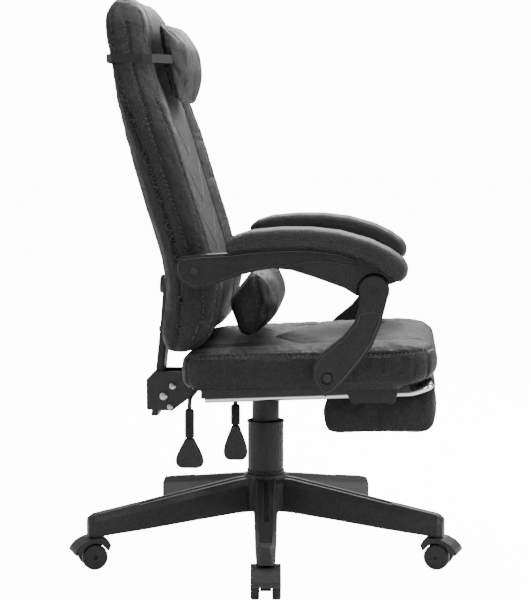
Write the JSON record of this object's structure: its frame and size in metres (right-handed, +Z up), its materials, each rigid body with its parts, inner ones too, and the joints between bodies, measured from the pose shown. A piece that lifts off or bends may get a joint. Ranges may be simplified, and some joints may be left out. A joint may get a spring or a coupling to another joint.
{
  "type": "gaming chair",
  "caption": "Upholstered swivel chair with reclining back, linked armrests, neck and lumbar pillows, pull-out footrest and castered star base.",
  "frame": {"origin": "on the floor, under the middle of the chair's footprint", "axes": "+Z up, -Y the way the sitter faces, +X the sitter's left"},
  "size_m": [0.744, 0.7645, 1.0936],
  "materials": {
    "black_nylon": "fine moulded texture, satin",
    "dark_plastic": "fine moulded texture, satin",
    "insert_rubber": "matt",
    "black_steel": "black powder coat",
    "chrome_tube": "polished chrome plate",
    "bolt_steel": "zinc plated",
    "black_leather": "fine-grained synthetic leather, satin",
    "black_fabric": "woven elastic",
    "plywood": "raw plywood"
  },
  "bodies": {
    "base": {"base_star": "black_nylon", "gas_tube": "black_steel", "piston_rod": "bolt_steel", "column_cover_lower": "dark_plastic"},
    "lift": {"column_cover_upper": "dark_plastic"},
    "seat": {"gas_piston": "chrome_tube", "seat_mechanism": "black_steel", "seat_board": "plywood", "seat_cushion": "black_leather", "rear_bracket": "black_steel", "recline_pin": "bolt_steel", "recline_spring": "black_steel", "rail_channel_left": "black_steel", "rail_channel_right": "black_steel", "rail_guide_left": "dark_plastic", "rail_guide_right": "dark_plastic", "arm_front_bolt_left": "black_steel", "arm_front_bolt_right": "black_steel"},
    "back": {"back_bar": "black_steel", "back_board": "plywood", "back_cover": "black_leather", "backrest_pad": "black_leather", "head_pillow": "black_leather", "head_strap": "black_fabric", "lumbar_pillow": "black_leather", "arm_rear_bolt_left": "black_steel", "arm_rear_bolt_right": "black_steel"},
    "footrest_slider": {"footrest_frame": "chrome_tube"},
    "footrest_flap": {"footrest_pad": "black_leather"},
    "recline_handle": {"recline_lever": "black_steel", "recline_sheath": "insert_rubber", "recline_grip": "dark_plastic"},
    "height_handle": {"height_lever": "black_steel", "height_sheath": "insert_rubber", "height_grip": "dark_plastic"},
    "right_arm": {"arm_upper_right": "dark_plastic", "arm_pad_right": "black_leather", "arm_knuckle_right": "dark_plastic"},
    "right_strut": {"arm_lower_right": "dark_plastic"},
    "left_arm": {"arm_upper_left": "dark_plastic", "arm_pad_left": "black_leather", "arm_knuckle_left": "dark_plastic"},
    "left_strut": {"arm_lower_left": "dark_plastic"},
    "caster_0": {"caster_0_hood": "black_nylon"},
    "caster_0_wheel_a": {"caster_0_wheel_a": "dark_plastic"},
    "caster_0_wheel_b": {"caster_0_wheel_b": "dark_plastic"},
    "caster_1": {"caster_1_hood": "black_nylon"},
    "caster_1_wheel_a": {"caster_1_wheel_a": "dark_plastic"},
    "caster_1_wheel_b": {"caster_1_wheel_b": "dark_plastic"},
    "caster_2": {"caster_2_hood": "black_nylon"},
    "caster_2_wheel_a": {"caster_2_wheel_a": "dark_plastic"},
    "caster_2_wheel_b": {"caster_2_wheel_b": "dark_plastic"},
    "caster_3": {"caster_3_hood": "black_nylon"},
    "caster_3_wheel_a": {"caster_3_wheel_a": "dark_plastic"},
    "caster_3_wheel_b": {"caster_3_wheel_b": "dark_plastic"},
    "caster_4": {"caster_4_hood": "black_nylon"},
    "caster_4_wheel_a": {"caster_4_wheel_a": "dark_plastic"},
    "caster_4_wheel_b": {"caster_4_wheel_b": "dark_plastic"}
  },
  "joints": [
    {"name": "gas_lift", "type": "slide", "parent": "base", "child": "lift", "axis": [0, 0, 1], "range_m": [-0.035, 0.045]},
    {"name": "seat_swivel", "type": "hinge", "parent": "lift", "child": "seat", "pos_m": [0.0235, 0.007, 0.3], "axis": [0, 0, 1], "continuous": true},
    {"name": "back_recline", "type": "hinge", "parent": "seat", "child": "back", "pos_m": [0.0235, 0.188, 0.342], "axis": [-1, 0, 0], "range_deg": [0, 35]},
    {"name": "right_arm_pivot", "type": "hinge", "parent": "back", "child": "right_arm", "pos_m": [-0.2445, 0.116, 0.59], "axis": [-1, 0, 0], "range_deg": [-33, 0]},
    {"name": "right_arm_knuckle", "type": "hinge", "parent": "right_arm", "child": "right_strut", "pos_m": [-0.2445, -0.21, 0.557], "axis": [-1, 0, 0], "range_deg": [0, 48]},
    {"name": "left_arm_pivot", "type": "hinge", "parent": "back", "child": "left_arm", "pos_m": [0.2915, 0.116, 0.59], "axis": [-1, 0, 0], "range_deg": [-33, 0]},
    {"name": "left_arm_knuckle", "type": "hinge", "parent": "left_arm", "child": "left_strut", "pos_m": [0.2915, -0.21, 0.557], "axis": [-1, 0, 0], "range_deg": [0, 48]},
    {"name": "footrest_slide", "type": "slide", "parent": "seat", "child": "footrest_slider", "axis": [0, -0.9991, 0.0425], "range_m": [0, 0.25]},
    {"name": "footrest_turn", "type": "hinge", "parent": "footrest_slider", "child": "footrest_flap", "pos_m": [0.0235, -0.3145, 0.368], "axis": [-1, 0, 0], "range_deg": [0, 180]},
    {"name": "recline_pull", "type": "hinge", "parent": "seat", "child": "recline_handle", "pos_m": [-0.0215, 0.134, 0.345], "axis": [0, 1, 0], "range_deg": [0, 3], "stiffness_Nm_per_rad": 4, "springref_deg": -8.59},
    {"name": "height_pull", "type": "hinge", "parent": "seat", "child": "height_handle", "pos_m": [-0.0215, 0.0535, 0.345], "axis": [0, 1, 0], "range_deg": [0, 5], "stiffness_Nm_per_rad": 4, "springref_deg": -8.59},
    {"name": "caster_0_swivel", "type": "hinge", "parent": "base", "child": "caster_0", "pos_m": [-0.31563, -0.01731, 0.07], "axis": [0, 0, 1], "continuous": true},
    {"name": "caster_0_spin_a", "type": "hinge", "parent": "caster_0", "child": "caster_0_wheel_a", "pos_m": [-0.3286, -0.01824, 0.025], "axis": [-0.0715, 0.9974, 0], "continuous": true},
    {"name": "caster_0_spin_b", "type": "hinge", "parent": "caster_0", "child": "caster_0_wheel_b", "pos_m": [-0.3286, -0.01824, 0.025], "axis": [-0.0715, 0.9974, 0], "continuous": true},
    {"name": "caster_1_swivel", "type": "hinge", "parent": "base", "child": "caster_1", "pos_m": [-0.10442, 0.32202, 0.07], "axis": [0, 0, 1], "continuous": true},
    {"name": "caster_1_spin_a", "type": "hinge", "parent": "caster_1", "child": "caster_1_wheel_a", "pos_m": [-0.10931, 0.33406, 0.025], "axis": [0.9265, 0.3762, 0], "continuous": true},
    {"name": "caster_1_spin_b", "type": "hinge", "parent": "caster_1", "child": "caster_1_wheel_b", "pos_m": [-0.10931, 0.33406, 0.025], "axis": [0.9265, 0.3762, 0], "continuous": true},
    {"name": "caster_2_swivel", "type": "hinge", "parent": "base", "child": "caster_2", "pos_m": [0.28357, 0.226, 0.07], "axis": [0, 0, 1], "continuous": true},
    {"name": "caster_2_spin_a", "type": "hinge", "parent": "caster_2", "child": "caster_2_wheel_a", "pos_m": [0.29352, 0.23438, 0.025], "axis": [0.6441, -0.7649, 0], "continuous": true},
    {"name": "caster_2_spin_b", "type": "hinge", "parent": "caster_2", "child": "caster_2_wheel_b", "pos_m": [0.29352, 0.23438, 0.025], "axis": [0.6441, -0.7649, 0], "continuous": true},
    {"name": "caster_3_swivel", "type": "hinge", "parent": "base", "child": "caster_3", "pos_m": [0.31215, -0.17267, 0.07], "axis": [0, 0, 1], "continuous": true},
    {"name": "caster_3_spin_a", "type": "hinge", "parent": "caster_3", "child": "caster_3_wheel_a", "pos_m": [0.32319, -0.17954, 0.025], "axis": [-0.5284, -0.849, 0], "continuous": true},
    {"name": "caster_3_spin_b", "type": "hinge", "parent": "caster_3", "child": "caster_3_wheel_b", "pos_m": [0.32319, -0.17954, 0.025], "axis": [-0.5284, -0.849, 0], "continuous": true},
    {"name": "caster_4_swivel", "type": "hinge", "parent": "base", "child": "caster_4", "pos_m": [-0.05818, -0.32304, 0.07], "axis": [0, 0, 1], "continuous": true},
    {"name": "caster_4_spin_a", "type": "hinge", "parent": "caster_4", "child": "caster_4_wheel_a", "pos_m": [-0.0613, -0.33566, 0.025], "axis": [-0.9707, 0.2402, 0], "continuous": true},
    {"name": "caster_4_spin_b", "type": "hinge", "parent": "caster_4", "child": "caster_4_wheel_b", "pos_m": [-0.0613, -0.33566, 0.025], "axis": [-0.9707, 0.2402, 0], "continuous": true}
  ],
  "couplings": [
    {"joint": "right_arm_pivot", "follows": "back_recline", "ratio": -0.929},
    {"joint": "right_arm_knuckle", "follows": "back_recline", "ratio": 1.358},
    {"joint": "left_arm_pivot", "follows": "back_recline", "ratio": -0.929},
    {"joint": "left_arm_knuckle", "follows": "back_recline", "ratio": 1.358},
    {"joint": "footrest_turn", "follows": "footrest_slide", "rad_per_m": 12.56}
  ]
}
